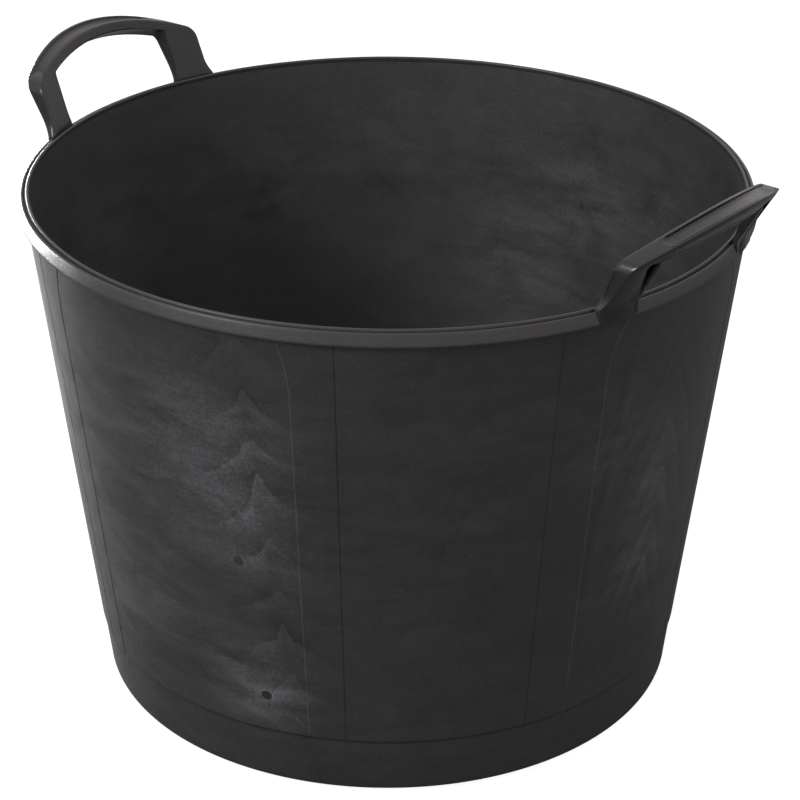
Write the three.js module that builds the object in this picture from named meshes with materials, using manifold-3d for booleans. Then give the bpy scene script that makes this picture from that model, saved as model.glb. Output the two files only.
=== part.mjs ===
// Round builder's mixing tub with two integral handles, moulded in black polyethylene.
// Millimetres, +Z up. The origin is the middle of the underside; the handles lie on -X and +X.
// The real tub is one moulding. It is divided here at its own edges and grooves into the regions
// that do different work: floor, foot band, wall, rim bead, rim band, and the bars of each handle.

import * as THREE from 'three';
import * as BufferGeometryUtils from 'three/addons/utils/BufferGeometryUtils.js';
import Module from 'manifold-3d';

// Overall sizes
const RIM_RADIUS = 225;            // outer edge of the rim band
const RIM_HEIGHT = 328.5;          // underside to the top of the rim
const FOOT_RADIUS = 183;           // outside of the wall at the underside, before its corner is rounded
const HANDLE_RISE = 46.5;            // top of the grip above the top of the rim

// Wall and floor
const WALL_THICKNESS = 3.2;
const FLOOR_THICKNESS = 4;
const FOOT_BAND_TOP = 40;
const FOOT_CORNER_RADIUS = 8;
const FOOT_BAND_STEP = 0.8;        // how far the foot band stands in from the wall above it

// Rim
const RIM_BAND_HEIGHT = 9.5;
const RIM_OVERHANG = 3.4;          // rim band's outer edge past the wall
const RIM_EDGE_RADIUS = 1.6;
const BEAD_WIDTH = 2.6;
const BEAD_RISE = 1.2;             // bead above the rim band

// Handles
const HANDLE_SPAN = 150;           // across the two legs at the rim
const HANDLE_TOP_SPAN = 149;       // across the two bends
const LEG_WIDTH = 22.5;
const BEND_RISE = 29.5;              // top of the bend above the rim
const BEND_RADIUS = 7;
const GRIP_INNER_DEPTH = 6;        // height of the grip's inner face
const GRIP_OUTER_EXTRA = 4.5;      // the grip's outer skirt hangs this much lower
const PLATE_FLARE = 0.36;          // outward lean of the inner face, run over rise
const GRIP_THICKNESS = 16.5;
const TROUGH_DEPTH = 1.6;
const TROUGH_LIP = 3;
const TROUGH_START = -33;          // the trough is long and off centre, towards +Y on the right handle
const TROUGH_END = 49;

// Fits and fineness
const JOIN_GAP = 0.3;
const RING_STEPS = 96;
const ARC_STEPS = 5;
const ARCH_STEPS = 12;

const wasm = await Module();
wasm.setup();

// Derived sizes
const WALL_TOP_RADIUS = RIM_RADIUS - RIM_OVERHANG;
const WALL_SLOPE = (WALL_TOP_RADIUS - FOOT_RADIUS) / RIM_HEIGHT;
const RIM_BAND_BASE = RIM_HEIGHT - RIM_BAND_HEIGHT;
const WALL_LEAN = THREE.MathUtils.radToDeg(Math.atan(WALL_SLOPE));
const FOOT_CORNER_CENTRE = FOOT_RADIUS - FOOT_BAND_STEP - FOOT_CORNER_RADIUS;
const FOOT_CORNER_TOP = Math.max(FOOT_CORNER_RADIUS, FLOOR_THICKNESS + FOOT_CORNER_RADIUS - WALL_THICKNESS);

const wallOuter = (height) => FOOT_RADIUS + WALL_SLOPE * height;
const wallInner = (height) => wallOuter(height) - WALL_THICKNESS;
const footOuter = (height) => wallOuter(height) - FOOT_BAND_STEP;

const BEAD_INNER = wallInner(RIM_BAND_BASE);
const RIM_BAND_INNER = BEAD_INNER + BEAD_WIDTH + JOIN_GAP;
const LEG_FOOT_THICKNESS = RIM_RADIUS - RIM_BAND_INNER;

const material = (name, colour, roughness) => {
  const plastic = new THREE.MeshStandardMaterial({ color: colour, roughness, metalness: 0 });
  plastic.name = name;
  return plastic;
};
const wallPlastic = material('black_polyethylene', 0x2b2a2b, 0.55);
const rimPlastic = material('black_polyethylene_rim', 0x343334, 0.45);
const handlePlastic = material('black_polyethylene_handle', 0x303031, 0.42);

// Points of a rounded corner, from one angle to another about a centre, in degrees.
function arc(centreX, centreY, radius, fromAngle, toAngle, steps = ARC_STEPS) {
  const points = [];
  for (let step = 0; step <= steps; step += 1) {
    const angle = THREE.MathUtils.degToRad(fromAngle + (toAngle - fromAngle) * step / steps);
    points.push(new THREE.Vector2(centreX + radius * Math.cos(angle), centreY + radius * Math.sin(angle)));
  }
  return points;
}

const at = (x, y) => new THREE.Vector2(x, y);

// Turns a closed profile of (radius, height) points about Z.
function revolve(profile) {
  const geometry = new THREE.LatheGeometry([...profile, profile[0].clone()], RING_STEPS);
  geometry.rotateX(Math.PI / 2);
  return geometry;
}

// Turns an outline that starts and ends on the axis about Z.
function revolveFromAxis(profile) {
  const geometry = new THREE.LatheGeometry(profile, RING_STEPS);
  geometry.rotateX(Math.PI / 2);
  return geometry;
}

// Pushes an outline of (y, z) points along +X, right through the handle's plate.
function pushThrough(outline) {
  const reach = RIM_RADIUS;
  const shape = new THREE.Shape(outline);
  const geometry = new THREE.ExtrudeGeometry(shape, { depth: reach, bevelEnabled: false });
  const toSide = new THREE.Matrix4().makeBasis(
    new THREE.Vector3(0, 1, 0),
    new THREE.Vector3(0, 0, 1),
    new THREE.Vector3(1, 0, 0),
  );
  geometry.applyMatrix4(toSide);
  geometry.translate(RIM_RADIUS / 2, 0, 0);
  return geometry;
}

function toSolid(geometry) {
  const bare = geometry.clone();
  bare.deleteAttribute('normal');
  bare.deleteAttribute('uv');
  const merged = BufferGeometryUtils.mergeVertices(bare, 1e-4);
  return new wasm.Manifold(new wasm.Mesh({
    numProp: 3,
    vertProperties: new Float32Array(merged.attributes.position.array),
    triVerts: new Uint32Array(merged.index.array),
  }));
}

function fromSolid(solid) {
  const mesh = solid.getMesh();
  const geometry = new THREE.BufferGeometry();
  geometry.setAttribute('position', new THREE.BufferAttribute(new Float32Array(mesh.vertProperties), 3));
  geometry.setIndex(new THREE.BufferAttribute(new Uint32Array(mesh.triVerts), 1));
  geometry.computeVertexNormals();
  return geometry;
}

// Floor: a flat disc that ends where the foot corner starts to curve.
function floorGeometry() {
  const radius = FOOT_CORNER_CENTRE - JOIN_GAP;
  return revolveFromAxis([at(0, 0), at(radius, 0), at(radius, FLOOR_THICKNESS), at(0, FLOOR_THICKNESS)]);
}

// Foot corner: the rounded turn from the floor into the band, as thick as the wall at its top.
function footCornerGeometry() {
  const innerRadius = FOOT_CORNER_RADIUS - WALL_THICKNESS;
  return revolve([
    ...arc(FOOT_CORNER_CENTRE, FOOT_CORNER_RADIUS, FOOT_CORNER_RADIUS, -90, -WALL_LEAN),
    at(footOuter(FOOT_CORNER_TOP), FOOT_CORNER_TOP),
    at(wallInner(FOOT_CORNER_TOP), FOOT_CORNER_TOP),
    ...arc(FOOT_CORNER_CENTRE, FLOOR_THICKNESS + innerRadius, innerRadius, -WALL_LEAN, -90),
  ]);
}

// Foot band: the upright hoop from the rounded corner to the step under the wall.
function footBandGeometry() {
  const bottom = FOOT_CORNER_TOP + JOIN_GAP;
  return revolve([
    at(footOuter(bottom), bottom),
    at(footOuter(FOOT_BAND_TOP), FOOT_BAND_TOP),
    at(wallInner(FOOT_BAND_TOP), FOOT_BAND_TOP),
    at(wallInner(bottom), bottom),
  ]);
}

// Wall: the plain cone between the groove and the rim.
function wallGeometry() {
  const bottom = FOOT_BAND_TOP + JOIN_GAP;
  const top = RIM_BAND_BASE - JOIN_GAP;
  return revolve([
    at(wallOuter(bottom), bottom),
    at(wallOuter(top), top),
    at(wallInner(top), top),
    at(wallInner(bottom), bottom),
  ]);
}

// Rim bead: the thin raised edge round the mouth.
function rimBeadGeometry() {
  const round = BEAD_WIDTH / 2;
  return revolve([
    at(BEAD_INNER, RIM_BAND_BASE),
    at(BEAD_INNER + BEAD_WIDTH, RIM_BAND_BASE),
    ...arc(BEAD_INNER + round, RIM_HEIGHT - round, round, 0, 180),
  ]);
}

// Rim band: the stiff hoop outside the bead.
function rimBandGeometry() {
  const top = RIM_HEIGHT - BEAD_RISE;
  const cornerX = RIM_RADIUS - RIM_EDGE_RADIUS;
  return revolve([
    at(RIM_BAND_INNER, RIM_BAND_BASE),
    ...arc(cornerX, RIM_BAND_BASE + RIM_EDGE_RADIUS, RIM_EDGE_RADIUS, -90, 0, 3),
    ...arc(cornerX, top - RIM_EDGE_RADIUS, RIM_EDGE_RADIUS, 0, 90, 3),
    at(RIM_BAND_INNER, top),
  ]);
}

// The handle's plate leans out from the top of the rim band and thickens towards the grip.
const plateInner = (rise) => RIM_BAND_INNER + PLATE_FLARE * (rise + BEAD_RISE);
const plateOuter = (rise) => {
  const share = (rise + BEAD_RISE) / (HANDLE_RISE + BEAD_RISE);
  return plateInner(rise) + LEG_FOOT_THICKNESS + (GRIP_THICKNESS - LEG_FOOT_THICKNESS) * share;
};

// The leaning hoop that both legs and the grip are cut from, from one rise above the rim to another.
function plateHoop(innerInset, outerInset, bottom, top) {
  return revolve([
    at(plateOuter(bottom) - outerInset, RIM_HEIGHT + bottom),
    at(plateOuter(top) - outerInset, RIM_HEIGHT + top),
    at(plateInner(top) + innerInset, RIM_HEIGHT + top),
    at(plateInner(bottom) + innerInset, RIM_HEIGHT + bottom),
  ]);
}

// Height of the grip's arched top line at a place along it, above the rim.
function archRise(along) {
  const share = along / (HANDLE_TOP_SPAN / 2);
  return BEND_RISE + (HANDLE_RISE - BEND_RISE) * (1 - share * share);
}

// Points along a line that follows the grip's arch, lowered by some distance.
function archLine(fromAlong, toAlong, lowered) {
  const points = [];
  for (let step = 0; step <= ARCH_STEPS; step += 1) {
    const along = fromAlong + (toAlong - fromAlong) * step / ARCH_STEPS;
    points.push(at(along, RIM_HEIGHT + archRise(along) - lowered));
  }
  return points;
}

// Grip: the arched bar between the two bends, with its trough cut in the top.
function gripSolid() {
  const half = HANDLE_TOP_SPAN / 2 - LEG_WIDTH - JOIN_GAP / 2;
  const depth = GRIP_INNER_DEPTH + GRIP_OUTER_EXTRA;
  const reach = 2 * GRIP_OUTER_EXTRA;
  const outline = [...archLine(-half, half, depth), ...archLine(half, -half, 0)];
  const hoop = toSolid(plateHoop(0, 0, 0, HANDLE_RISE + reach));
  const bar = hoop.intersect(toSolid(pushThrough(outline)));
  const innerStep = [...archLine(-half, half, depth + reach), ...archLine(half, -half, GRIP_INNER_DEPTH)];
  const innerHoop = toSolid(plateHoop(-reach, GRIP_THICKNESS / 2, 0, HANDLE_RISE + reach));
  const stepped = bar.subtract(innerHoop.intersect(toSolid(pushThrough(innerStep))));
  const troughFloor = archLine(TROUGH_START, TROUGH_END, TROUGH_DEPTH);
  const troughLine = [...troughFloor, ...archLine(TROUGH_END, TROUGH_START, -reach)];
  const troughHoop = toSolid(plateHoop(TROUGH_LIP, TROUGH_LIP, 0, HANDLE_RISE + 2 * reach));
  return stepped.subtract(troughHoop.intersect(toSolid(pushThrough(troughLine))));
}

// Leg: the plate from the rim up to the bend; side is -1 for the leg at -Y and +1 for the one at +Y.
function legSolid(side) {
  const footEdge = HANDLE_SPAN / 2;
  const topOuter = HANDLE_TOP_SPAN / 2;
  const topInner = topOuter - LEG_WIDTH + JOIN_GAP / 2;
  const footInner = footEdge - LEG_WIDTH;
  const top = RIM_HEIGHT + archRise(topInner);
  const gripUnderside = top - GRIP_INNER_DEPTH - GRIP_OUTER_EXTRA;
  const bottom = RIM_HEIGHT - BEAD_RISE + JOIN_GAP;
  const bendTop = RIM_HEIGHT + BEND_RISE;
  const outline = [
    at(footInner, bottom),
    at(footEdge, bottom),
    ...arc(topOuter - BEND_RADIUS, bendTop - BEND_RADIUS, BEND_RADIUS, 0, 90),
    at(topInner, top),
    at(topInner, gripUnderside),
  ].map((point) => at(side * point.x, point.y));
  if (side < 0) outline.reverse();
  const hoop = toSolid(plateHoop(0, 0, -BEAD_RISE, HANDLE_RISE));
  return hoop.intersect(toSolid(pushThrough(outline)));
}

const tub = new THREE.Group();

function addPiece(name, geometry, plastic, turn = 0) {
  const mesh = new THREE.Mesh(geometry, plastic);
  mesh.name = name;
  mesh.rotation.z = turn;
  tub.add(mesh);
}

addPiece('tub_floor', floorGeometry(), wallPlastic);
addPiece('foot_corner', footCornerGeometry(), wallPlastic);
addPiece('foot_band', footBandGeometry(), wallPlastic);
addPiece('tub_wall', wallGeometry(), wallPlastic);
addPiece('rim_bead', rimBeadGeometry(), rimPlastic);
addPiece('rim_band', rimBandGeometry(), rimPlastic);

const grip = fromSolid(gripSolid());
const nearLeg = fromSolid(legSolid(-1));
const farLeg = fromSolid(legSolid(1));
const handles = [
  { side: 'right', turn: 0, atMinusY: 'front_leg', atPlusY: 'rear_leg' },
  { side: 'left', turn: Math.PI, atMinusY: 'rear_leg', atPlusY: 'front_leg' },
];
for (const { side, turn, atMinusY, atPlusY } of handles) {
  addPiece(`${side}_handle_grip`, grip, handlePlastic, turn);
  addPiece(`${side}_handle_${atMinusY}`, nearLeg, handlePlastic, turn);
  addPiece(`${side}_handle_${atPlusY}`, farLeg, handlePlastic, turn);
}

export default tub;
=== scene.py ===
"""Round mortar mixing tub with two integral handles, one moulding in black recycled polyethylene.

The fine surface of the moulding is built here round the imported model: the tapered shell with its
mould lines, the rim with its bead and band, and the two arched handles. Lengths in the shape
functions are in millimetres and become metres when a mesh is made.
"""
import math

import bpy
import numpy as np
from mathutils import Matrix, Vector


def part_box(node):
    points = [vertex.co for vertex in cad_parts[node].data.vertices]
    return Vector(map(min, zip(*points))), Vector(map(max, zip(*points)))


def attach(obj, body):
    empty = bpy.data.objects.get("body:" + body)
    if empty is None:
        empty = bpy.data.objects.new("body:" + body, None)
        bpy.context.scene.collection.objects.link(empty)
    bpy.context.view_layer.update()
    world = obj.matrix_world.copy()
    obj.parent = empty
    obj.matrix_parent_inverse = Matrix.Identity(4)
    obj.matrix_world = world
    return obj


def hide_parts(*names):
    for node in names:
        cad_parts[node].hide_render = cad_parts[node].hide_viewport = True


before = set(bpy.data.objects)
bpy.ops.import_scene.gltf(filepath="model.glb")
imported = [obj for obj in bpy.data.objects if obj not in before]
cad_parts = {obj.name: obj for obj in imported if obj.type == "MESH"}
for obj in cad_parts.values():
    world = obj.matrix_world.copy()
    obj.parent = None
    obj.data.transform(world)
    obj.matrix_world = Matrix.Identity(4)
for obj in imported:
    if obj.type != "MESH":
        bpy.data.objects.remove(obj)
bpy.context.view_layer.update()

MM = 0.001
TAU = 2 * math.pi


def corner(node, which):
    """A CAD node's lowest (0) or highest (1) corner in millimetres."""
    return [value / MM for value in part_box(node)[which]]


# Sizes read from the frame, in millimetres
RIM_R = corner("rim_band", 1)[0]
RIM_TOP = corner("rim_bead", 1)[2]
RIM_BASE = corner("rim_band", 0)[2]
BAND_TOP = corner("rim_band", 1)[2]
BEAD_OUTER = corner("rim_bead", 1)[0]
WALL_TOP_Z = corner("tub_wall", 1)[2]
WALL_TOP_R = corner("tub_wall", 1)[0]
STEP_Z = corner("foot_band", 1)[2]
BAND_R = corner("foot_band", 1)[0]
FLOOR_Z = corner("tub_floor", 1)[2]
GRIP_TOP = corner("right_handle_grip", 1)[2] - RIM_TOP - 0.2
LEG_EDGE = corner("right_handle_rear_leg", 1)[1]

# Shell
WALL = 3.2                    # wall thickness
FOOT_CORNER = 8.0             # outer radius of the rounded foot
STEP_OUT = 0.8                # the wall stands out from the foot band by this much
STEP_EXTRA = 0.8              # and by this much more in front and behind, away from the handles
SECTOR_FROM = 60.0            # degrees from the nearest handle's axis where that begins
SECTOR_BLEND = 10.0           # degrees over which it grows
WALL_SLOPE = (WALL_TOP_R - BAND_R - STEP_OUT) / (WALL_TOP_Z - STEP_Z)
WAVE = 0.22                   # slow waves in the moulded wall

# Mould lines: degrees from the nearest handle's axis, height (+ ridge, - groove), half width,
# and how many degrees the line turns aside under the rim
MOULD_LINES = (
    (17.5, 0.34, 0.42, -3.4),
    (26.0, -0.24, 0.40, 0.0),
    (59.6, -0.28, 0.40, 0.0),
    (66.4, 0.30, 0.40, 1.9),
)
TURN_HEIGHT = 42.0            # the lines turn aside over this height below the rim
FAINT_LINES = (240.0, 250.0)  # between these azimuths the raised line's painted highlight is fainter
FAINT_SHADE = 0.25

# Soft grooves where the melt met, shown only as painted shade with a painted highlight along one
# flank: azimuth, lean in degrees a millimetre, middle height, half height, half width in millimetres,
# strength
SOFT_GROOVES = (
    (-14.8, 0.026, 220.0, 85.0, 2.4, 0.55),
    (165.2, 0.026, 220.0, 85.0, 2.4, 0.55),
)

# The painted shade in the crease at the step: how far it reaches above and below the step, and how dark
# it is
CREASE_ABOVE = 0.2
CREASE_BELOW = 1.6
CREASE_SHADE = 0.8
# The softer shadow below it: its reach, its darkest depth, how fast it fades, how dark it is, and the
# degrees from the nearest handle's axis where it begins and over which it grows
SHADOW_BELOW = 4.5
SHADOW_MIDDLE = 0.8
SHADOW_FADE = 4.0
SHADOW_SHADE = 0.75
SHADOW_FROM = 66.0
SHADOW_BLEND = 0.8

# Handles
BEND_RISE = 29.5              # height above the rim of the bend between leg and grip
BEND_ROUND = 9.0              # radius of that bend on its outside
LEG_WIDTH = 22.5              # width of a leg along the rim
GRIP_INNER = 6.0              # depth of the grip at its inner face
GRIP_OUTER = 11.5             # depth of the grip at the parting flash
GRIP_THICK = 16.5             # thickness of the grip from its inner face to its outer one
FLASH_LEAN = 3.0              # the grip's outer face slopes in by this much down to the flash
POCKET_DEEP = 9.0             # a leg is cored out beside the hole by this much at the bend
FOOT_FLARE = 3.0              # a leg widens by this much at the rim
FOOT_FLARE_RISE = 10.0        # and keeps its own width from this height up
EDGE_ROUND = 1.1              # radius of the bar's long outer edges
TROUGH_DEEP = 2.0             # depth of the trough in the grip's top
TROUGH_LIP = 2.6              # width of the lip on each side of it
TROUGH_FROM = -52.0           # where the trough starts and ends along the handle
TROUGH_TO = 66.0
TROUGH_BLEND = 1.6            # its ends slope over this length
HANDLE_SKEW = 0.8             # the soft rim carries the two handles this many degrees out of line
RIGHT_LEAN = 0.32             # outward lean of a handle, in millimetres for each one of height
LEFT_LEAN = 0.36
LEG_STEPS = 20                # stations along a leg, round a bend and along half of the grip
BEND_STEPS = 14
GRIP_STEPS = 40

# Rim
BAND_SLOPE = 2.0              # the rim band's outer face leans in by this much at its top
RIM_UNEVEN = 0.10             # the rim's radius wanders by this much
RIM_DROOP = 1.6               # the soft rim hangs by this much in front,
DROOP_AZIMUTH = -40.0         # most of all here,
HANDLE_DROOP = 3.0            # and by this much more at the right handle,
HANDLE_DROOP_SPREAD = 48.0    # fading over these degrees on each side of it

# Flow marks: where nested chevrons rise in the wall, in degrees round the tub, with their half width
# in degrees, strength, the drift of their peaks over the wall's height and the power of their fall
# (half gives a sharp cusp, one gives straight flanks)
OUTSIDE_FLOWS = (
    (-71.0, 7.5, 0.8, -8.0, 0.5),
    (-1.0, 15.0, 0.7, 3.0, 1.0),
    (-112.0, 8.0, 0.5, 3.0, 0.5),
    (-38.0, 8.0, 0.2, 0.0, 1.0),
    (42.0, 9.0, 0.6, -4.0, 0.6),
    (79.0, 9.0, 0.9, 5.0, 0.5),
    (118.0, 11.0, 0.6, -3.0, 0.8),
    (149.0, 8.0, 0.5, 4.0, 0.5),
    (181.0, 15.0, 0.7, -3.0, 1.0),
    (221.0, 9.0, 0.6, 4.0, 0.5),
)
INSIDE_FLOWS = tuple(
    (azimuth, 5.0, 0.5, 2.0, 0.5)
    for azimuth in (
        18.0, 45.0, 71.0, 88.0, 106.0, 130.0, 152.0, 178.0, 204.0, 231.0, 262.0, 290.0, 318.0
    )
)
OUTSIDE_STEP = 32.0           # height between nested chevrons
INSIDE_STEP = 58.0
FLOW_FALL = 15.0              # their fall in millimetres, two degrees away from the peak

# Paler hazy patches of the skin: azimuth in degrees, height in millimetres, half width in degrees,
# half height in millimetres, strength
OUTSIDE_HAZE = (
    (-86.0, 228.0, 15.0, 62.0, 0.9),
    (-74.0, 190.0, 9.0, 60.0, 0.45),
    (-100.0, 110.0, 14.0, 60.0, 0.55),
    (-75.0, 70.0, 9.0, 26.0, 1.4),
    (-120.0, 230.0, 14.0, 70.0, 0.5),
    (-15.0, 230.0, 6.0, 26.0, 0.55),
    (-1.0, 195.0, 8.0, 42.0, 0.85),
    (-3.0, 135.0, 9.0, 28.0, 0.65),
    (-26.0, 262.0, 12.0, 28.0, 0.22),
    (-38.0, 200.0, 12.0, 30.0, 0.12),
    (38.0, 205.0, 17.0, 70.0, 0.7),
    (83.0, 120.0, 19.0, 60.0, 0.6),
    (118.0, 240.0, 15.0, 60.0, 0.8),
    (160.0, 165.0, 14.0, 80.0, 0.5),
    (190.0, 240.0, 17.0, 50.0, 0.6),
    (214.0, 110.0, 18.0, 50.0, 0.5),
    (230.0, 225.0, 14.0, 60.0, 0.7),
)
INSIDE_HAZE = (
    (84.0, 246.0, 16.0, 46.0, 0.5),
    (99.0, 190.0, 14.0, 55.0, 0.55),
    (66.0, 256.0, 9.0, 34.0, 0.30),
    (128.0, 268.0, 14.0, 34.0, 0.30),
    (152.0, 250.0, 13.0, 40.0, 0.25),
    (20.0, 220.0, 16.0, 60.0, 0.5),
    (195.0, 230.0, 16.0, 50.0, 0.4),
    (250.0, 200.0, 18.0, 60.0, 0.6),
    (300.0, 240.0, 16.0, 50.0, 0.5),
)

# Round marks of the mould's pins in the outer wall: azimuth, height and how plain they are to see
PIN_MARKS = (
    (-74.2, 66.0, 1.0),
    (-77.2, 162.0, 0.6),
    (-76.8, 194.0, 0.3),
    (105.8, 66.0, 1.0),
    (102.8, 162.0, 0.5),
)
PIN_RADIUS = 3.6

# Surface: the fine bumps of the skin, in metres
BUMP_STRENGTH = 0.4
BUMP_DISTANCE = 0.0004

# Camera: where the photograph was taken from, round the tub's axis and above its middle
CAMERA_AZIMUTH = 38.0
CAMERA_RISE = 26.82
CAMERA_DISTANCE = 1661.4
CAMERA_LENS = 117.0
CAMERA_SHIFT_X = 0.0153
CAMERA_SHIFT_Y = 0.0177

# Light
SURROUND_COLOUR = (1.0, 0.945, 0.97, 1)
SURROUND_LIGHT = 0.86         # the surround's strength as a light
SURROUND_SEEN = 1.1           # and where the camera sees it
BOX_COLOUR = (0.96, 0.97, 1.0)
FLOOR_REACH = 9.0             # metres
FLOOR_BOUNCE = 0.20           # the grey that the floor gives back to the lights
FLOOR_GLOW = 0.93             # and its glow where the camera sees it


# ---------------------------------------------------------------- mesh helpers

def make_object(name, points, faces, smooth_angle):
    """A mesh object from points in millimetres, smooth except across edges sharper than an angle."""
    mesh = bpy.data.meshes.new(name)
    mesh.from_pydata((np.asarray(points, float) * MM).tolist(), [], faces)
    mesh.validate()
    mesh.polygons.foreach_set("use_smooth", [True] * len(mesh.polygons))
    mesh.update()
    obj = bpy.data.objects.new(name, mesh)
    bpy.context.scene.collection.objects.link(obj)
    mesh.set_sharp_from_angle(angle=math.radians(smooth_angle))
    return obj


def grid_faces(rows, columns, close_rows=False, close_columns=False):
    """Quads over a grid of points numbered row by row."""
    faces = []
    row_count = rows if close_rows else rows - 1
    column_count = columns if close_columns else columns - 1
    for i in range(row_count):
        for j in range(column_count):
            a = i * columns + j
            b = i * columns + (j + 1) % columns
            c = ((i + 1) % rows) * columns + (j + 1) % columns
            d = ((i + 1) % rows) * columns + j
            faces.append((a, b, c, d))
    return faces


def arc(centre_x, centre_y, radius, start, end, steps):
    """Points of an arc between two angles in degrees."""
    angles = np.radians(np.linspace(start, end, steps + 1))
    return [(centre_x + radius * math.cos(a), centre_y + radius * math.sin(a)) for a in angles]


def smooth(value):
    """The usual smooth step of a value from 0 to 1."""
    t = np.clip(value, 0.0, 1.0)
    return t * t * (3 - 2 * t)


def wrapped(degrees):
    """An angle brought between -180 and 180 degrees."""
    return (degrees + 180) % 360 - 180


def from_handle_axis(azimuths):
    """How many degrees each azimuth lies from the nearest handle's axis."""
    return np.abs((azimuths + 90) % 180 - 90)


def rows_of(kinds, *wanted):
    """Which rows of the shell's section are of the wanted kinds."""
    return np.array([kind in wanted for kind in kinds])


def turned(points, degrees):
    """Points turned about the tub's axis."""
    angle = math.radians(degrees)
    x = points[:, 0] * math.cos(angle) - points[:, 1] * math.sin(angle)
    y = points[:, 0] * math.sin(angle) + points[:, 1] * math.cos(angle)
    return np.stack([x, y, points[:, 2]], -1)


def settled(points):
    """Points of the tub lowered as its soft rim lies: not at all at the foot, in full at the rim."""
    points = np.asarray(points, float)
    azimuth = np.degrees(np.arctan2(points[:, 1], points[:, 0]))
    front = 0.5 + 0.5 * np.cos(np.radians(azimuth - DROOP_AZIMUTH))
    near_handle = np.exp(-(azimuth / HANDLE_DROOP_SPREAD) ** 2)
    droop = RIM_DROOP * smooth(front) + HANDLE_DROOP * near_handle
    moved = points.copy()
    moved[:, 2] -= droop * np.clip(points[:, 2] / RIM_TOP, 0, 1) ** 1.5
    return moved


# ---------------------------------------------------------------- shell

def mould_angles():
    """Every mould line as (azimuth in degrees, height, half width, turn towards greater azimuth)."""
    lines = []
    for axis in (0.0, 180.0):
        for side in (-1, 1):
            for away, height, half_width, turn in MOULD_LINES:
                lines.append(((axis + side * away) % 360.0, height, half_width, side * turn))
    return sorted(lines)


def shell_stations():
    """Azimuths round the shell, in degrees: even ones, and a fine cluster across each mould line."""
    mean_radius = (BAND_R + WALL_TOP_R) / 2
    stations = set(np.round(np.arange(0.0, 360.0, 1.25), 3))
    for azimuth, _, half_width, _ in mould_angles():
        for across in (-3, -2, -1.4, -0.9, -0.5, 0, 0.5, 0.9, 1.4, 2, 3):
            step = math.degrees(across * half_width / mean_radius)
            stations.add(round((azimuth + step) % 360.0, 3))
    return np.array(sorted(stations))


def line_turn(azimuths, heights):
    """How far, in degrees, each station turns aside at each height so that it follows its mould line."""
    lines = mould_angles()
    known = np.array([line[0] for line in lines])
    turns = np.array([line[3] for line in lines])
    known = np.concatenate([known - 360, known, known + 360])
    turns = np.tile(turns, 3)
    near_top = np.clip(1 - (WALL_TOP_Z - heights) / TURN_HEIGHT, 0, 1) ** 2.2
    return np.interp(azimuths, known, turns)[None, :] * near_top[:, None]


def round_the_wall(apart, heights):
    """Distance round the wall, in millimetres, for a grid of angles in degrees."""
    radius = BAND_R + WALL_SLOPE * (heights - STEP_Z)
    return np.radians(wrapped(apart)) * radius[:, None]


def line_relief(azimuths, heights):
    """Height of the mould lines' ridges and grooves over the wall, in millimetres."""
    relief = np.zeros((len(heights), len(azimuths)))
    for azimuth, height, half_width, _ in mould_angles():
        along = round_the_wall(azimuths[None, :] - azimuth, heights)
        relief += height * np.exp(-(along / half_width) ** 2)
    return relief


def wall_wave(azimuths, heights, seed):
    """Slow uneven waves of a moulded wall: a few seeded sine waves round and up the tub."""
    rng = np.random.default_rng(seed)
    around = np.radians(azimuths)[None, :]
    up = heights[:, None] / WALL_TOP_Z
    wave = np.zeros((len(heights), len(azimuths)))
    for count in range(3, 22):
        size = 1.0 / (1 + 0.16 * count)
        phase_round, phase_up = rng.uniform(0, TAU, 2)
        lift = rng.uniform(0.6, 3.4)
        wave += size * np.sin(count * around + phase_round) * np.cos(lift * math.pi * up + phase_up)
    return wave / np.abs(wave).max()


def inner_radius(height):
    """Radius of the wall's inner face at a height."""
    return BAND_R + STEP_OUT - WALL + (height - STEP_Z) * WALL_SLOPE


def shell_outline():
    """Outline of the shell's section as (radius, height, kind), from the underside's middle round the
    outside, over the hidden top and down the inside to the floor's middle."""
    centre_r = BAND_R - (STEP_Z - FOOT_CORNER) * WALL_SLOPE - FOOT_CORNER
    lean = math.degrees(math.atan(WALL_SLOPE))
    wall_r = BAND_R + STEP_OUT
    outline = [(0.0, 0.9, "under"), (38.0, 0.9, "under"), (40.0, 0.0, "under")]
    outline += [(r, 0.0, "under") for r in np.linspace(60.0, centre_r - 6, 6)]
    outline += [(r, z, "foot") for r, z in arc(centre_r, FOOT_CORNER, FOOT_CORNER, -90, -lean, 12)]
    below_step = [STEP_Z - drop for drop in (4.5, 3.3, 2.2, 1.3)]
    for z in list(np.linspace(FOOT_CORNER + 2, STEP_Z - 6, 8)) + below_step:
        outline.append((BAND_R - (STEP_Z - z) * WALL_SLOPE, z, "foot"))
    outline.append((BAND_R, STEP_Z - 0.7, "foot"))
    outline.append((BAND_R + 0.15, STEP_Z - 0.25, "foot"))
    outline.append((wall_r - 0.45, STEP_Z - 0.05, "step"))
    outline.append((wall_r - 0.12, STEP_Z + 0.12, "step"))
    outline.append((wall_r, STEP_Z + 0.45, "step"))
    heights = STEP_Z + 0.9 + (WALL_TOP_Z + 1.0 - STEP_Z - 0.9) * np.linspace(0, 1, 64)
    outline += [(wall_r + (z - STEP_Z) * WALL_SLOPE, z, "wall") for z in heights]
    inner_round = FOOT_CORNER - WALL + 3
    round_z = FLOOR_Z + inner_round
    for z in np.linspace(RIM_TOP - 2.6, round_z + 2, 66):
        outline.append((inner_radius(z), z, "inside"))
    centre_in = inner_radius(round_z) - inner_round
    outline += [(r, z, "inside") for r, z in arc(centre_in, round_z, inner_round, -lean, -90, 10)]
    outline += [(r, FLOOR_Z, "floor") for r in np.linspace(centre_in - 8, 8, 9)]
    outline.append((0.0, FLOOR_Z, "floor"))
    return outline


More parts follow.
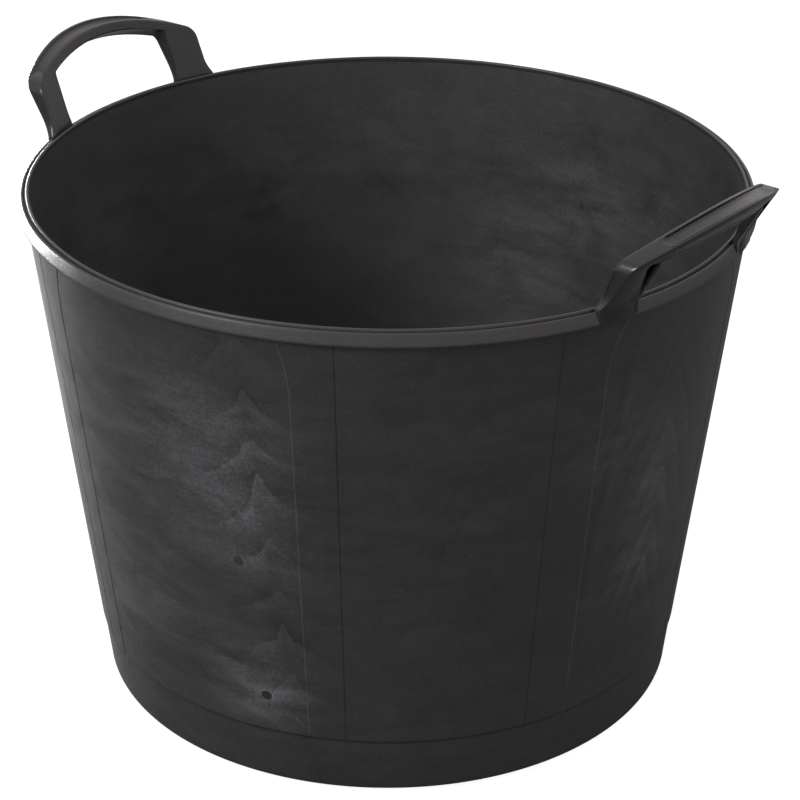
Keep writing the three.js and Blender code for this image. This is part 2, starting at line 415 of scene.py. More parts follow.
def shell_radius(azimuths, radii, heights, kinds):
    """Radius over the shell's grid: the plain section with its mould lines, waves and deeper step."""
    on_wall = rows_of(kinds, "wall", "step")[:, None]
    on_foot = rows_of(kinds, "foot")[:, None]
    outside = rows_of(kinds, "wall", "step", "foot")
    inside = rows_of(kinds, "inside")
    lines = line_relief(azimuths, heights)
    relief = lines * on_wall
    relief += 0.3 * np.maximum(lines * on_foot, 0) * smooth((heights - 14) / 12)[:, None]

    fade_top = smooth((WALL_TOP_Z - heights) / 6.0)
    outer_share = outside * smooth((heights - 6) / 30) * fade_top
    inner_share = inside * smooth((heights - 20) / 40) * fade_top
    wave = WAVE * wall_wave(azimuths, heights, seed=11) * outer_share[:, None]
    wave += WAVE * wall_wave(azimuths, heights, seed=23) * inner_share[:, None]

    sector = smooth((from_handle_axis(azimuths) - SECTOR_FROM) / SECTOR_BLEND)
    sink = STEP_EXTRA * sector[None, :] * on_foot
    sink = sink * smooth((heights - 4) / 20)[:, None]
    radius = radii[:, None] + relief + wave - sink
    radius[radii == 0] = 0.0
    return radius


def build_shell():
    """The shell: floor, rounded foot, foot band, step and tapered wall with its mould lines."""
    outline = shell_outline()
    azimuths = shell_stations()
    radii = np.array([point[0] for point in outline])
    heights = np.array([point[1] for point in outline])
    kinds = [point[2] for point in outline]
    on_wall = rows_of(kinds, "wall", "step")[:, None]
    theta = np.radians(azimuths[None, :] + line_turn(azimuths, heights) * on_wall)
    radius = shell_radius(azimuths, radii, heights, kinds)
    x = radius * np.cos(theta)
    y = radius * np.sin(theta)
    z = np.repeat(heights[:, None], len(azimuths), 1)
    middle_rows = slice(1, len(outline) - 1)
    points = np.stack([x, y, z], -1)[middle_rows].reshape(-1, 3)
    rows, columns = len(outline) - 2, len(azimuths)
    faces = grid_faces(rows, columns, close_columns=True)
    low = len(points)
    high = low + 1
    points = np.vstack([points, [[0, 0, heights[0]], [0, 0, heights[-1]]]])
    last = (rows - 1) * columns
    for j in range(columns):
        after = (j + 1) % columns
        faces.append((low, after, j))
        faces.append((high, last + j, last + after))
    obj = make_object("tub_shell", settled(points), faces, smooth_angle=50)
    paint_shell(obj, azimuths, heights[middle_rows], kinds[middle_rows])
    return obj


def patch_sum(azimuths, heights, patches):
    """Sum of soft round patches over the wall's grid."""
    total = np.zeros((len(heights), len(azimuths)))
    for azimuth, height, half_width, half_height, strength in patches:
        apart = wrapped(azimuths - azimuth)
        reach = (apart[None, :] / half_width) ** 2 + ((heights[:, None] - height) / half_height) ** 2
        total += strength * np.exp(-reach)
    return total


def flow_field(azimuths, heights, flows, step):
    """Phase of the nested chevrons, in turns, and how strong they are, from the strongest column near.
    Each column starts at a phase of its own, so that neighbours don't line up."""
    best = np.zeros((len(heights), len(azimuths)))
    phase = np.zeros_like(best)
    for azimuth, half_width, strength, drift, power in flows:
        line = azimuth + drift * (heights / RIM_TOP - 0.5)
        apart = wrapped(azimuths[None, :] - line[:, None])
        share = strength * np.exp(-(apart / half_width) ** 2)
        fall = FLOW_FALL * (np.abs(apart) / 2) ** power
        here = (heights[:, None] + fall) / step + azimuth / 7
        phase = np.where(share > best, here, phase)
        best = np.maximum(best, share)
    return phase, best


def line_field(azimuths, heights, on_wall):
    """Where the mould lines and the step's crease run: painted highlight (+) on a ridge, painted shade
    (-) in a groove, in the step's crease and under the step.
    """
    field = np.zeros((len(heights), len(azimuths)))
    for azimuth, height, half_width, _ in mould_angles():
        along = round_the_wall(azimuths[None, :] - azimuth, heights)
        shade = math.copysign(1, height)
        if height > 0 and FAINT_LINES[0] < azimuth < FAINT_LINES[1]:
            shade = FAINT_SHADE
        field += shade * np.exp(-(along / half_width) ** 2)
    # Each soft groove: painted shade along it and a painted highlight along one flank
    for azimuth, lean, middle, half_height, half_width, strength in SOFT_GROOVES:
        apart = azimuths[None, :] - azimuth - lean * (heights[:, None] - middle)
        along = round_the_wall(apart, heights)
        fade = strength * np.exp(-((heights - middle) / half_height) ** 4)[:, None]
        field -= fade * np.exp(-(along / half_width) ** 2)
        field += 0.5 * fade * np.exp(-((along - 2.4 * half_width) / (1.6 * half_width)) ** 2)
    field *= on_wall[:, None]
    # Painted shade in the step's crease, and a softer painted shadow under it between the side mould
    # lines
    below = STEP_Z - heights
    crease = (below > -CREASE_ABOVE) & (below < CREASE_BELOW)
    near = (below > -CREASE_ABOVE) & (below < SHADOW_BELOW)
    shadow = np.where(near, 1 - np.abs(below - SHADOW_MIDDLE) / SHADOW_FADE, 0.0)
    shadow = np.maximum(shadow, 0)[:, None]
    sector = smooth((from_handle_axis(azimuths) - SHADOW_FROM) / SHADOW_BLEND)
    return field - crease[:, None] * CREASE_SHADE - SHADOW_SHADE * sector[None, :] * shadow


def add_field(obj, name, grid):
    """Stores a grid of numbers on the shell's points, with zeros for its two middle points."""
    values = np.concatenate([grid.reshape(-1), [0.0, 0.0]]).astype(np.float32)
    attribute = obj.data.attributes.new(name, "FLOAT", "POINT")
    attribute.data.foreach_set("value", values)


def paint_shell(obj, azimuths, heights, kinds):
    """Stores the fields that the plastic's colour and sheen follow."""
    on_wall = rows_of(kinds, "wall", "step")
    within = rows_of(kinds, "inside", "floor")[:, None]
    outer_phase, outer_share = flow_field(azimuths, heights, OUTSIDE_FLOWS, OUTSIDE_STEP)
    inner_phase, inner_share = flow_field(azimuths, heights, INSIDE_FLOWS, INSIDE_STEP)
    fade = smooth((heights - 25) / 60)[:, None]
    add_field(obj, "mould_line_painted_light", line_field(azimuths, heights, on_wall))
    add_field(obj, "flow_phase", np.where(within, inner_phase, outer_phase))
    add_field(obj, "flow_share", fade * np.where(within, inner_share, outer_share))
    inner_haze = patch_sum(azimuths, heights, INSIDE_HAZE)
    outer_haze = patch_sum(azimuths, heights, OUTSIDE_HAZE)
    add_field(obj, "haze", np.where(within, inner_haze, outer_haze))
    add_field(obj, "within", np.repeat(within * 1.0, len(azimuths), 1))


# ---------------------------------------------------------------- rim

def rim_outline():
    """Closed outline of the rim's section: the bead, the groove beside it and the outer band."""
    bead_r = 1.05
    outline = [(inner_radius(RIM_BASE) + 0.9, RIM_BASE - 1.4)]
    outline += [(inner_radius(z) + 0.25, z) for z in (RIM_TOP - 5.5, RIM_TOP - 3.8)]
    outline.append((BEAD_OUTER - 2 * bead_r + 0.05, RIM_TOP - 2.0))
    outline += arc(BEAD_OUTER - bead_r, RIM_TOP - bead_r, bead_r, 180, 20, 9)
    groove_r = BEAD_OUTER + 0.2
    for out, drop in ((-0.25, 1.7), (0.0, 2.35), (0.5, 2.45), (1.0, 1.85)):
        outline.append((groove_r + out, RIM_TOP - drop))
    outline.append((groove_r + 1.5, BAND_TOP - 0.12))
    outline += arc(RIM_R - BAND_SLOPE - 0.9, BAND_TOP - 1.0, 1.0, 90, 20, 6)
    for share in (0.3, 0.6, 0.88):
        height = BAND_TOP - 0.66 - share * (BAND_TOP - RIM_BASE - 2.1)
        outline.append((RIM_R - BAND_SLOPE * (1 - share), height))
    outline += arc(RIM_R - 1.2, RIM_BASE + 1.2, 1.18, 10, -90, 7)
    outline += [(WALL_TOP_R + 0.9, RIM_BASE + 0.05), (WALL_TOP_R + 0.25, RIM_BASE - 0.35)]
    outline.append((WALL_TOP_R - 0.8, RIM_BASE - 1.2))
    return outline


def build_rim():
    """The rim all the way round, a little uneven as a soft moulding is."""
    outline = rim_outline()
    azimuths = np.arange(0.0, 360.0, 0.75)
    radii = np.array([point[0] for point in outline])
    heights = np.array([point[1] for point in outline])
    theta = np.radians(azimuths)[None, :]
    rng = np.random.default_rng(5)
    uneven = np.zeros(len(azimuths))
    for count in range(4, 40):
        size = math.sin(rng.uniform(0, TAU))
        wave = np.sin(count * theta[0] + rng.uniform(0, TAU))
        uneven += size * wave / (3 + 0.25 * count)
    uneven *= RIM_UNEVEN / np.abs(uneven).max()
    radius = radii[:, None] - RIM_UNEVEN + uneven[None, :]
    x = radius * np.cos(theta)
    y = radius * np.sin(theta)
    z = np.repeat(heights[:, None], len(azimuths), 1)
    points = np.stack([x, y, z], -1).reshape(-1, 3)
    faces = grid_faces(len(outline), len(azimuths), close_rows=True, close_columns=True)
    faces = [face[::-1] for face in faces]
    return make_object("tub_rim", settled(points), faces, smooth_angle=50)


# ---------------------------------------------------------------- handles

def arch(along):
    """Height of the grip's top line above the rim at a place along the handle."""
    half = LEG_EDGE - 0.7
    return BEND_RISE + (GRIP_TOP - BEND_RISE) * (1 - (along / half) ** 2)


def fillet(before, bend, after, radius, steps):
    """Points of a rounded corner between two straight runs."""
    a = np.array(before, float) - bend
    b = np.array(after, float) - bend
    a /= np.linalg.norm(a)
    b /= np.linalg.norm(b)
    half = math.acos(float(np.clip(a @ b, -1, 1))) / 2
    reach = radius / math.tan(half)
    middle = bend + (a + b) / np.linalg.norm(a + b) * radius / math.sin(half)
    start = bend + a * reach - middle
    end = bend + b * reach - middle
    from_angle = math.atan2(start[1], start[0])
    sweep = (math.atan2(end[1], end[0]) - from_angle + math.pi) % TAU - math.pi
    angles = from_angle + sweep * np.linspace(0, 1, steps + 1)
    return [middle + radius * np.array([math.cos(t), math.sin(t)]) for t in angles]


def handle_line(foot, bend, drop, radius, spread):
    """Half of one line along the handle, from its foot at -Y to its middle: up the leg, round the
    bend and along the arch. drop is how far it lies below the top line, spread how wide the foot
    flares."""
    ahead = bend[0] + 12
    corner_points = fillet(foot, np.array(bend), (ahead, arch(ahead) - drop), radius, BEND_STEPS)
    line = []
    for t in np.linspace(0, 1, LEG_STEPS)[:-1]:
        point = np.array(foot) * (1 - t) + corner_points[0] * t
        point[0] += spread * max(1 - max(point[1], 0.0) / FOOT_FLARE_RISE, 0.0) ** 2
        line.append(point)
    line += corner_points
    start = corner_points[-1]
    slip = arch(start[0]) - drop - start[1]
    for t in np.linspace(0, 1, GRIP_STEPS + 1)[1:]:
        y = start[0] * (1 - t)
        line.append(np.array([y, arch(y) - drop - slip * (1 - t) ** 3]))
    return np.array(line)


def handle_section(edge, hole, flash, thick, rise, grip, place):
    """Closed outline of the bar at one station as (along, height, out, line): the inner face, the
    underside down to the parting flash, the hollow flank beyond it, the outward panel and the top
    edge. line is a painted highlight (+) along the flash and painted shade (-) in the hollow flank
    and on the trough's walls."""
    across = edge - flash
    span = float(np.linalg.norm(across))
    out_dir = across / span
    inner = float(np.linalg.norm(edge - hole))
    inner_dir = (edge - hole) / inner
    leg = 1 - grip
    part = thick - 0.7 - 0.5 * rise - (FLASH_LEAN - 1.2) * grip
    flank = 0.10 + 0.46 * rise ** 1.3
    pocket = (0.4 + POCKET_DEEP * rise ** 1.5) * leg + 0.3 * grip
    points = []

    def put(base, direction, along, out, line=0.0):
        y, height = base + direction * along
        points.append((float(y), float(height), out, line))

    for angle in (0, 45, 90):
        turn = math.radians(angle)
        inward = EDGE_ROUND * math.cos(turn) - EDGE_ROUND
        put(edge, out_dir, inward, EDGE_ROUND - EDGE_ROUND * math.sin(turn))
    for share in (0.72, 0.48, 0.24):
        put(hole, inner_dir, inner * share, 0.0)
    put(hole, inner_dir, 0.9, 0.0)
    put(hole, inner_dir, 0.25, 0.25)
    put(hole, inner_dir, 0.0, 0.9)
    for share in (0.35, 0.7):
        middle = hole * (1 - share) + flash * share
        put(middle, out_dir, 0.0, 0.9 + (part - 1.4) * share)
    put(flash, out_dir, 0.0, part - 0.5)
    # The flash is painted pale as a highlight
    put(flash, out_dir, -0.40, part - 0.15, 1.0)
    put(flash, out_dir, -0.40, part + 0.2, 1.0)
    put(flash, out_dir, 0.55, part + 0.35, 0.4)
    put(flash, out_dir, 0.95, part - 0.1 * pocket + 0.2, 0.1)

    # The hollow flank runs from the flash to its end; the panel beyond it stands at full thickness
    hollow = thick - pocket
    # Painted shade in the hollow flank, deepest at the bend
    shade = -0.9 * rise * leg
    end = flank * span
    put(flash, out_dir, 1.25, hollow * leg + (part + 0.4) * grip, shade)
    for share, beyond in ((0.4, 0.8), (0.75, 0.6)):
        out = hollow * leg + (part + share * FLASH_LEAN) * grip
        put(flash, out_dir, share * end + beyond, out, shade)
    put(flash, out_dir, end + 0.6, (hollow + 0.2) * leg + (thick - 0.3) * grip, -0.7 * rise * leg)
    put(flash, out_dir, end + 0.9, thick - 0.25 * leg - 0.2 * grip)
    put(flash, out_dir, end + 1.3, thick)
    put(flash, out_dir, end + 1.3 + 0.5 * (span - EDGE_ROUND - end - 1.3), thick + 0.1 * leg)
    for angle in (90, 60, 30, 0):
        turn = math.radians(angle)
        inward = EDGE_ROUND * math.cos(turn) - EDGE_ROUND
        put(edge, out_dir, inward, thick - EDGE_ROUND + EDGE_ROUND * math.sin(turn))

    # The trough along the top edge, with painted shade on its walls
    lip = min(TROUGH_LIP, 0.3 * thick)
    half = thick / 2 - lip
    for share in (0.999, 0.97, 0.90, 0.75, 0.4, 0.0, -0.4, -0.75, -0.90, -0.97, -0.999):
        start = TROUGH_FROM + half * (1 - math.sqrt(1 - share * share))
        inside = smooth((place - start) / TROUGH_BLEND) * smooth((TROUGH_TO - place) / TROUGH_BLEND)
        inside = float(inside)
        bowl = (1 - abs(share) ** 14) * (abs(share) < 0.99)
        pit = 1.1 * math.exp(-((place - TROUGH_TO + 4) / TROUGH_BLEND) ** 2) * (abs(share) < 0.8)
        shade = -0.6 * inside * (abs(share) > 0.93)
        put(edge, out_dir, -(TROUGH_DEEP * bowl + pit) * inside, thick / 2 + half * share, shade)
    return points


def build_handle(name, turn, lean):
    """One handle: a bar swept up a leg, round the bend, along the arched grip and down again."""
    foot_z = RIM_BASE - RIM_TOP + 0.25
    leg_in = LEG_EDGE - LEG_WIDTH
    hole_rise = arch(leg_in - 1)
    edge_bend = (-(LEG_EDGE - 0.7), BEND_RISE)
    edge = handle_line((-LEG_EDGE, foot_z), edge_bend, 0.0, BEND_ROUND, -FOOT_FLARE)
    hole_bend = (-(leg_in - 0.5), hole_rise - GRIP_INNER)
    hole = handle_line((-leg_in, foot_z), hole_bend, GRIP_INNER, 2.2, 0.4 * FOOT_FLARE)
    flash_bend = (-(leg_in - 0.5), hole_rise - GRIP_OUTER)
    flash = handle_line((-leg_in, foot_z), flash_bend, GRIP_OUTER, 4.5, 0.4 * FOOT_FLARE)
    round_bend = smooth(np.linspace(0, 1, BEND_STEPS + 1))
    grip = np.concatenate([np.zeros(LEG_STEPS - 1), round_bend, np.ones(GRIP_STEPS)])
    flip = np.array([-1, 1])
    edge, hole, flash = (np.vstack([line, line[-2::-1] * flip]) for line in (edge, hole, flash))
    grip = np.concatenate([grip, grip[-2::-1]])
    foot_in = BEAD_OUTER + 0.5
    foot_thick = RIM_R - foot_in + 0.08
    points, lines = [], []
    for top, under, seam, share in zip(edge, hole, flash, grip):
        place, top_height = float(top[0]), float(top[1])
        rise = min(max(top_height / BEND_RISE, 0.0), 1.0)
        thick = foot_thick + (GRIP_THICK - foot_thick) * max(top_height, 0.0) / GRIP_TOP
        section = handle_section(top, under, seam, thick, rise, float(share), place)
        for y, height, out, line in section:
            rho = foot_in + lean * max(height, 0.0) + out
            points.append((math.sqrt(rho * rho - y * y), y, RIM_TOP + height))
            lines.append(line)
    columns = len(points) // len(edge)
    faces = grid_faces(len(edge), columns, close_columns=True)
    faces.append(tuple(range(columns))[::-1])
    faces.append(tuple(range(len(points) - columns, len(points))))
    points = turned(np.array(points), turn)
    obj = make_object(name, settled(points), faces, smooth_angle=40)
    # The painted highlight along the flash and the painted shade in the hollows, stored on the points
    attribute = obj.data.attributes.new("mould_line_painted_light", "FLOAT", "POINT")
    attribute.data.foreach_set("value", np.array(lines, np.float32))
    return obj


shell = build_shell()
rim = build_rim()
right_handle = build_handle("right_handle", -HANDLE_SKEW, RIGHT_LEAN)
left_handle = build_handle("left_handle", 180 + HANDLE_SKEW, LEFT_LEAN)


# ---------------------------------------------------------------- materials

class Nodes:
    """Small helper that adds and joins shader nodes."""

    def __init__(self, name):
        self.material = bpy.data.materials.new(name)
        self.material.use_nodes = True
        self.tree = self.material.node_tree
        self.tree.nodes.clear()

    def add(self, kind, **settings):
        """A node with its settings, by attribute or by input name."""
        node = self.tree.nodes.new(kind)
        for key, value in settings.items():
            if hasattr(node, key):
                setattr(node, key, value)
            else:
                node.inputs[key.replace("_", " ")].default_value = value
        return node

    def join(self, output, socket):
        """A link between two sockets."""
        self.tree.links.new(output, socket)

    def math(self, operation, a, b=None, c=None):
        """A sum over numbers and sockets."""
        node = self.add("ShaderNodeMath", operation=operation)
        for socket, value in zip(node.inputs, (a, b, c)):
            if value is None:
                continue
            if isinstance(value, (int, float)):
                socket.default_value = value
            else:
                self.join(value, socket)
        return node.outputs[0]

    def field(self, name):
        """A number stored on the mesh's points."""
        return self.add("ShaderNodeAttribute", attribute_name=name).outputs["Fac"]

    def noise(self, place, scale, detail, roughness=0.5, distortion=0.0):
        """Noise over the object, with features of about one over the scale, in metres."""
        node = self.add("ShaderNodeTexNoise", Scale=scale, Detail=detail, Roughness=roughness)
        node.inputs["Distortion"].default_value = distortion
        self.join(place, node.inputs["Vector"])
        return node.outputs["Fac"]

    def between(self, value, low, high, out_low=0.0, out_high=1.0):
        """A value carried from one range to another, held at both ends."""
        node = self.add("ShaderNodeMapRange")
        self.join(value, node.inputs["Value"])
        names = ("From Min", "From Max", "To Min", "To Max")
        for name, number in zip(names, (low, high, out_low, out_high)):
            node.inputs[name].default_value = number
        return node.outputs["Result"]

    def grey(self, value, base):
        """The plastic's colour: warm where it is dark, a little blue where it is pale."""
        paleness = self.between(value, base, 2.6 * base)
        green = self.math("MULTIPLY_ADD", paleness, 0.03, 0.97)
        blue = self.math("MULTIPLY_ADD", paleness, 0.07, 0.98)
        node = self.add("ShaderNodeCombineColor")
        self.join(value, node.inputs["Red"])
        self.join(self.math("MULTIPLY", value, green), node.inputs["Green"])
        self.join(self.math("MULTIPLY", value, blue), node.inputs["Blue"])
        return node.outputs[0]


def pin_marks(n, place, colour, base):
    """Darkens the colour in each pin mark and lightens the ring round it."""
    for azimuth, height, strength in PIN_MARKS:
        angle = math.radians(azimuth)
        radius = BAND_R + STEP_OUT + WALL_SLOPE * (height - STEP_Z)
        centre = Vector((radius * math.cos(angle), radius * math.sin(angle), height)) * MM
        away = n.add("ShaderNodeVectorMath", operation="DISTANCE")
        n.join(place, away.inputs[0])
        away.inputs[1].default_value = centre
        reach = away.outputs["Value"]
        disc = n.between(reach, 0.88 * PIN_RADIUS * MM, PIN_RADIUS * MM, 1.0, 0.0)
        ring = n.between(reach, PIN_RADIUS * MM, 1.5 * PIN_RADIUS * MM, 1.0, 0.0)
        ring = n.math("SUBTRACT", ring, disc)
        colour = n.math("MULTIPLY_ADD", ring, 0.7 * base * strength, colour)
        colour = n.math("MULTIPLY", colour, n.math("MULTIPLY_ADD", disc, -0.8 * strength, 1.0))
    return colour


def flow_stripes(n, place):
    """The nested chevrons of the flow marks: their bright crests and the dark valleys between them."""
    warp = n.math("SUBTRACT", n.noise(place, 22.0, 5.0, 0.62), 0.5)
    drift = n.math("SUBTRACT", n.noise(place, 7.0, 2.0, 0.5), 0.5)
    phase = n.math("MULTIPLY_ADD", warp, 1.1, n.field("flow_phase"))
    phase = n.math("MULTIPLY_ADD", drift, 1.6, phase)
    saw = n.math("FRACT", n.math("ADD", phase, 50.0))
    crest = n.math("MULTIPLY", n.math("POWER", saw, 3.0), n.between(saw, 0.93, 1.0, 1.0, 0.0))
    thin = n.math("MULTIPLY_ADD", warp, 1.2, n.math("MULTIPLY", phase, 2.63))
    thin = n.math("POWER", n.math("FRACT", thin), 6.0)
    stripes = n.math("MULTIPLY_ADD", thin, 0.25, crest)
    return stripes, n.between(saw, 0.0, 0.35, 1.0, 0.0)


def flow_and_haze(n, place, colour, rough, base):
    """Lays the skin's haze, its flow marks and a paler tone inside the tub over the plain plastic."""
    level = n.add("ShaderNodeMapping")
    level.inputs["Scale"].default_value = (1.0, 1.0, 3.2)
    n.join(place, level.inputs["Vector"])
    level = level.outputs["Vector"]
    grain = n.between(n.noise(place, 480.0, 2.0, 0.75), 0.36, 0.64, 0.55, 1.35)
    ragged = n.between(n.noise(level, 12.0, 6.0, 0.66, 0.6), 0.36, 0.62)
    wisps = n.between(n.noise(level, 20.0, 5.0, 0.6, 0.8), 0.30, 0.70, -0.30, 0.30)
    patchy = n.between(n.noise(place, 15.0, 4.0, 0.6, 0.4), 0.38, 0.62, 0.15, 1.0)

    # The marks are brighter than the wall outside the tub and darker than it inside
    stripes, valley = flow_stripes(n, place)
    flows = n.math("MULTIPLY", n.math("MULTIPLY", n.field("flow_share"), patchy), stripes)
    sign = n.math("MULTIPLY_ADD", n.field("within"), -2.1, 1.0)
    plain = n.math("MULTIPLY_ADD", n.field("haze"), 1.0, 0.30)
    flows = n.math("MULTIPLY", n.math("MULTIPLY", flows, sign), plain)
    haze = n.math("MULTIPLY", n.field("haze"), n.math("MULTIPLY_ADD", ragged, 0.85, 0.15))
    streak = n.math("MULTIPLY", n.math("MULTIPLY_ADD", haze, 0.75, flows), grain)
    colour = n.math("MULTIPLY_ADD", streak, 1.9 * base, colour)
    wisp_strength = n.math("MULTIPLY_ADD", n.field("haze"), 1.6 * base, 0.5 * base)
    colour = n.math("MULTIPLY_ADD", wisps, wisp_strength, colour)
    valley = n.math("MULTIPLY", n.field("flow_share"), valley)
    colour = n.math("MULTIPLY_ADD", valley, -0.30 * base, colour)
    rough = n.math("MULTIPLY_ADD", streak, 0.10, rough)

    # Inside the tub the plastic is paler, most of all at the bottom
    apart = n.add("ShaderNodeSeparateXYZ")
    n.join(place, apart.inputs[0])
    paler_below = n.between(apart.outputs["Z"], 0.0, 0.28, 1.2 * base, 0.12 * base)
    colour = n.math("MULTIPLY_ADD", n.field("within"), paler_below, colour)
    rough = n.math("MULTIPLY_ADD", n.field("within"), 0.06, rough)
    return colour, rough


def mould_marks(n, place, colour, rough, base):
    """Lays a painted highlight on the mould's ridges, and painted shade in its grooves, in the step's
    crease and under the step, over the plastic; the grooves are also smoother.
    """
    line = n.field("mould_line_painted_light")
    broken = n.between(n.noise(place, 60.0, 2.0, 0.5), 0.3, 0.65, 0.35, 1.0)
    painted_ridge_highlight = n.math("MULTIPLY", n.math("MAXIMUM", line, 0.0), broken)
    painted_groove_shade = n.math("MINIMUM", line, 0.0)
    colour = n.math("MULTIPLY_ADD", painted_ridge_highlight, 1.2 * base, colour)
    colour = n.math("MULTIPLY_ADD", painted_groove_shade, 0.55 * base, colour)
    rough = n.math("MULTIPLY_ADD", painted_groove_shade, -0.12, rough)
    return colour, rough


def black_plastic(name, base, roughness, grain, specular, marked=False):
    """Black recycled polyethylene: uneven sheen, fine specks and a skin of dust. base is its grey,
    grain the depth of its fine bumps; marked adds the marks of the wall, and otherwise the painted
    highlight and shade stored on the mesh are laid on."""
    n = Nodes(name)
    place = n.add("ShaderNodeTexCoord").outputs["Object"]
    cloud = n.noise(place, 9.0, 4.0, 0.55, 0.4)
    mottle = n.noise(place, 70.0, 5.0, 0.62)
    speck = n.noise(place, 620.0, 2.0, 0.6)
    fine = n.noise(place, 1500.0, 2.0, 0.5)
    specks = n.between(speck, 0.56, 0.74)

    colour = n.math("MULTIPLY_ADD", cloud, 0.35 * base, 0.80 * base)
    colour = n.math("MULTIPLY_ADD", mottle, 0.36 * base, n.math("SUBTRACT", colour, 0.18 * base))
    colour = n.math("MULTIPLY_ADD", specks, 0.50 * base, colour)
    rough = n.math("MULTIPLY_ADD", cloud, 0.16, roughness - 0.08)
    rough = n.math("MULTIPLY_ADD", mottle, 0.14, n.math("SUBTRACT", rough, 0.07))
    rough = n.math("MULTIPLY_ADD", speck, 0.10, n.math("SUBTRACT", rough, 0.05))
    if marked:
        colour, rough = flow_and_haze(n, place, colour, rough, base)
        colour = pin_marks(n, place, colour, base)
        colour, rough = mould_marks(n, place, colour, rough, base)
    else:
        # The handles' painted highlight along the flash and painted shade in their hollows and trough
        colour = n.math("MULTIPLY_ADD", n.field("mould_line_painted_light"), 3.5 * base, colour)
    colour = n.math("MAXIMUM", colour, 0.10 * base)

    height = n.math("MULTIPLY", fine, 0.35 * grain)
    height = n.math("MULTIPLY_ADD", speck, 0.8 * grain, height)
    height = n.math("MULTIPLY_ADD", mottle, 1.5 * grain, height)
    bump = n.add("ShaderNodeBump")
    bump.inputs["Strength"].default_value = BUMP_STRENGTH
    bump.inputs["Distance"].default_value = BUMP_DISTANCE
    n.join(height, bump.inputs["Height"])

    shader = n.add("ShaderNodeBsdfPrincipled")
    shader.inputs["Specular IOR Level"].default_value = specular
    shader.inputs["IOR"].default_value = 1.5
    n.join(n.grey(colour, base), shader.inputs["Base Color"])
    n.join(n.math("MAXIMUM", rough, 0.12), shader.inputs["Roughness"])
    n.join(bump.outputs[0], shader.inputs["Normal"])
    output = n.add("ShaderNodeOutputMaterial")
    n.join(shader.outputs[0], output.inputs["Surface"])
    return n.material


wall_plastic = black_plastic(
    "wall_plastic", base=0.028, roughness=0.42, grain=0.8, specular=0.42, marked=True)
rim_plastic = black_plastic("rim_plastic", base=0.028, roughness=0.40, grain=0.5, specular=0.5)
handle_plastic = black_plastic("handle_plastic", base=0.018, roughness=0.27, grain=0.4, specular=0.40)


def finish_piece(obj, material, slot, *nodes):
    """Gives a piece its plastic, its body and the CAD nodes it stands for. The slot is not used."""
    obj.data.materials.append(material)
    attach(obj, "root")
    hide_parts(*nodes)


finish_piece(
    shell, wall_plastic, "black_polyethylene", "tub_floor", "foot_corner", "foot_band", "tub_wall")
finish_piece(rim, rim_plastic, "black_polyethylene_rim", "rim_bead", "rim_band")
for handle, side in ((right_handle, "right"), (left_handle, "left")):
    nodes = [f"{side}_handle_{part}" for part in ("grip", "front_leg", "rear_leg")]
    finish_piece(handle, handle_plastic, "black_polyethylene_handle", *nodes)


# ---------------------------------------------------------------- floor, light and camera

def photo_direction(right, away, up):
    """A direction given as right of, away from and above the camera's view of the tub."""
    turn = math.radians(CAMERA_AZIMUTH)
    x = right * math.cos(turn) - away * math.sin(turn)
    y = right * math.sin(turn) + away * math.cos(turn)
    return Vector((x, y, up))


def make_floor():
    """A plain pale floor that glows where the camera sees it, so that it looks white round the tub."""
    mesh = bpy.data.meshes.new("floor")
    corners = [(x * FLOOR_REACH, y * FLOOR_REACH, 0) for x, y in ((-1, -1), (1, -1), (1, 1), (-1, 1))]
    mesh.from_pydata(corners, [], [(0, 1, 2, 3)])
    floor = bpy.data.objects.new("floor", mesh)
    bpy.context.scene.collection.objects.link(floor)
    n = Nodes("floor_pale")
    diffuse = n.add("ShaderNodeBsdfDiffuse")
    diffuse.inputs["Color"].default_value = (FLOOR_BOUNCE, FLOOR_BOUNCE, FLOOR_BOUNCE, 1)
    glow = n.add("ShaderNodeEmission")
    glow.inputs["Color"].default_value = (1.0, 1.0, 1.0, 1)
    glow.inputs["Strength"].default_value = FLOOR_GLOW
    seen = n.add("ShaderNodeLightPath")
    dark = n.add("ShaderNodeEmission")
    dark.inputs["Strength"].default_value = 0.0
    pick = n.add("ShaderNodeMixShader")
    n.join(seen.outputs["Is Camera Ray"], pick.inputs[0])
    n.join(dark.outputs[0], pick.inputs[1])
    n.join(glow.outputs[0], pick.inputs[2])
    both = n.add("ShaderNodeAddShader")
    n.join(diffuse.outputs[0], both.inputs[0])
    n.join(pick.outputs[0], both.inputs[1])
    output = n.add("ShaderNodeOutputMaterial")
    n.join(both.outputs[0], output.inputs["Surface"])
    mesh.materials.append(n.material)
    floor.location.z = -0.0005
    return floor


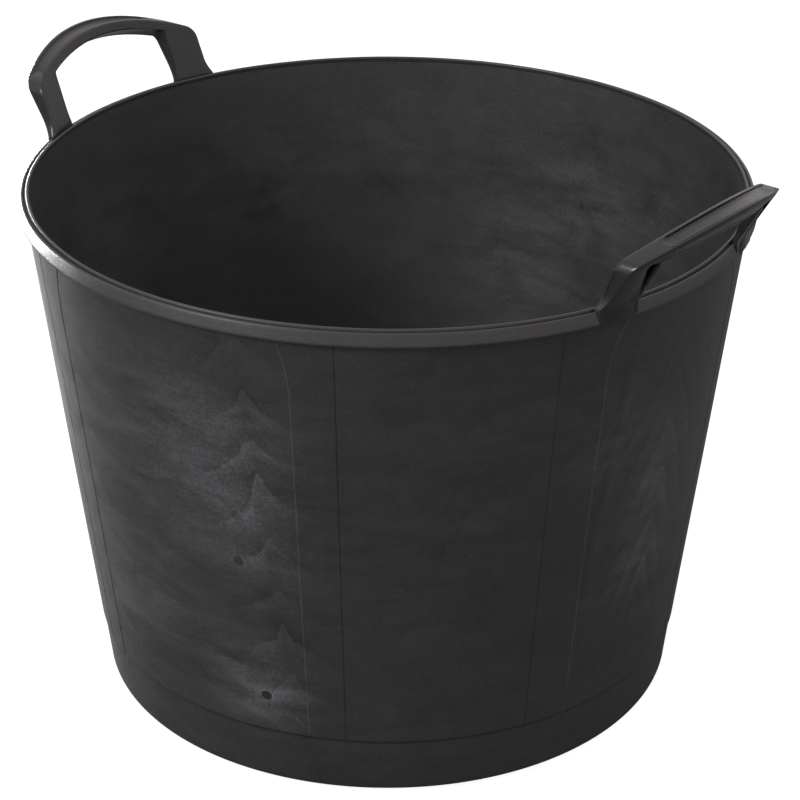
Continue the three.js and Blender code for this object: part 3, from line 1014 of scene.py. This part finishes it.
def soft_light(name, where, width, height, power, aim=(0, 0, 0.18)):
    """A soft box at a place given as right, away and up, aimed at the tub."""
    light = bpy.data.lights.new(name, "AREA")
    light.shape = "RECTANGLE"
    light.size = width
    light.size_y = height
    light.energy = power
    light.color = BOX_COLOUR
    obj = bpy.data.objects.new(name, light)
    bpy.context.scene.collection.objects.link(obj)
    obj.location = photo_direction(*where)
    obj.rotation_euler = (Vector(aim) - obj.location).to_track_quat("-Z", "Y").to_euler()
    obj.visible_camera = False
    return obj


def make_world():
    """An even pale surround: white where the camera sees it, a little dimmer as a light."""
    world = bpy.data.worlds.new("surround")
    world.use_nodes = True
    bpy.context.scene.world = world
    tree = world.node_tree
    tree.nodes.clear()
    seen = tree.nodes.new("ShaderNodeLightPath")
    strength = tree.nodes.new("ShaderNodeMapRange")
    strength.inputs["To Min"].default_value = SURROUND_LIGHT
    strength.inputs["To Max"].default_value = SURROUND_SEEN
    background = tree.nodes.new("ShaderNodeBackground")
    background.inputs["Color"].default_value = SURROUND_COLOUR
    output = tree.nodes.new("ShaderNodeOutputWorld")
    tree.links.new(seen.outputs["Is Camera Ray"], strength.inputs["Value"])
    tree.links.new(strength.outputs["Result"], background.inputs["Strength"])
    tree.links.new(background.outputs[0], output.inputs["Surface"])


def make_camera():
    """The camera at the photograph's angle, looking at the middle of the tub's height."""
    middle = Vector((0, 0, RIM_TOP / 2 * MM))
    rise = math.radians(CAMERA_RISE)
    back = photo_direction(0, -math.cos(rise), math.sin(rise)) * CAMERA_DISTANCE * MM
    camera = bpy.data.cameras.new("camera")
    camera.lens = CAMERA_LENS
    camera.sensor_width = 36.0
    camera.shift_x = CAMERA_SHIFT_X
    camera.shift_y = CAMERA_SHIFT_Y
    obj = bpy.data.objects.new("camera", camera)
    bpy.context.scene.collection.objects.link(obj)
    obj.location = middle + back
    obj.rotation_euler = (-back).to_track_quat("-Z", "Y").to_euler()
    bpy.context.scene.camera = obj


make_floor()
make_world()
soft_light("key_box", (-2.0, -1.5, 1.8), width=0.6, height=0.6, power=42)
soft_light("edge_box", (-1.6, 2.0, 0.08), width=1.6, height=0.14, power=220, aim=(0, 0, 0.04))
make_camera()
bpy.context.scene.view_settings.view_transform = "Standard"
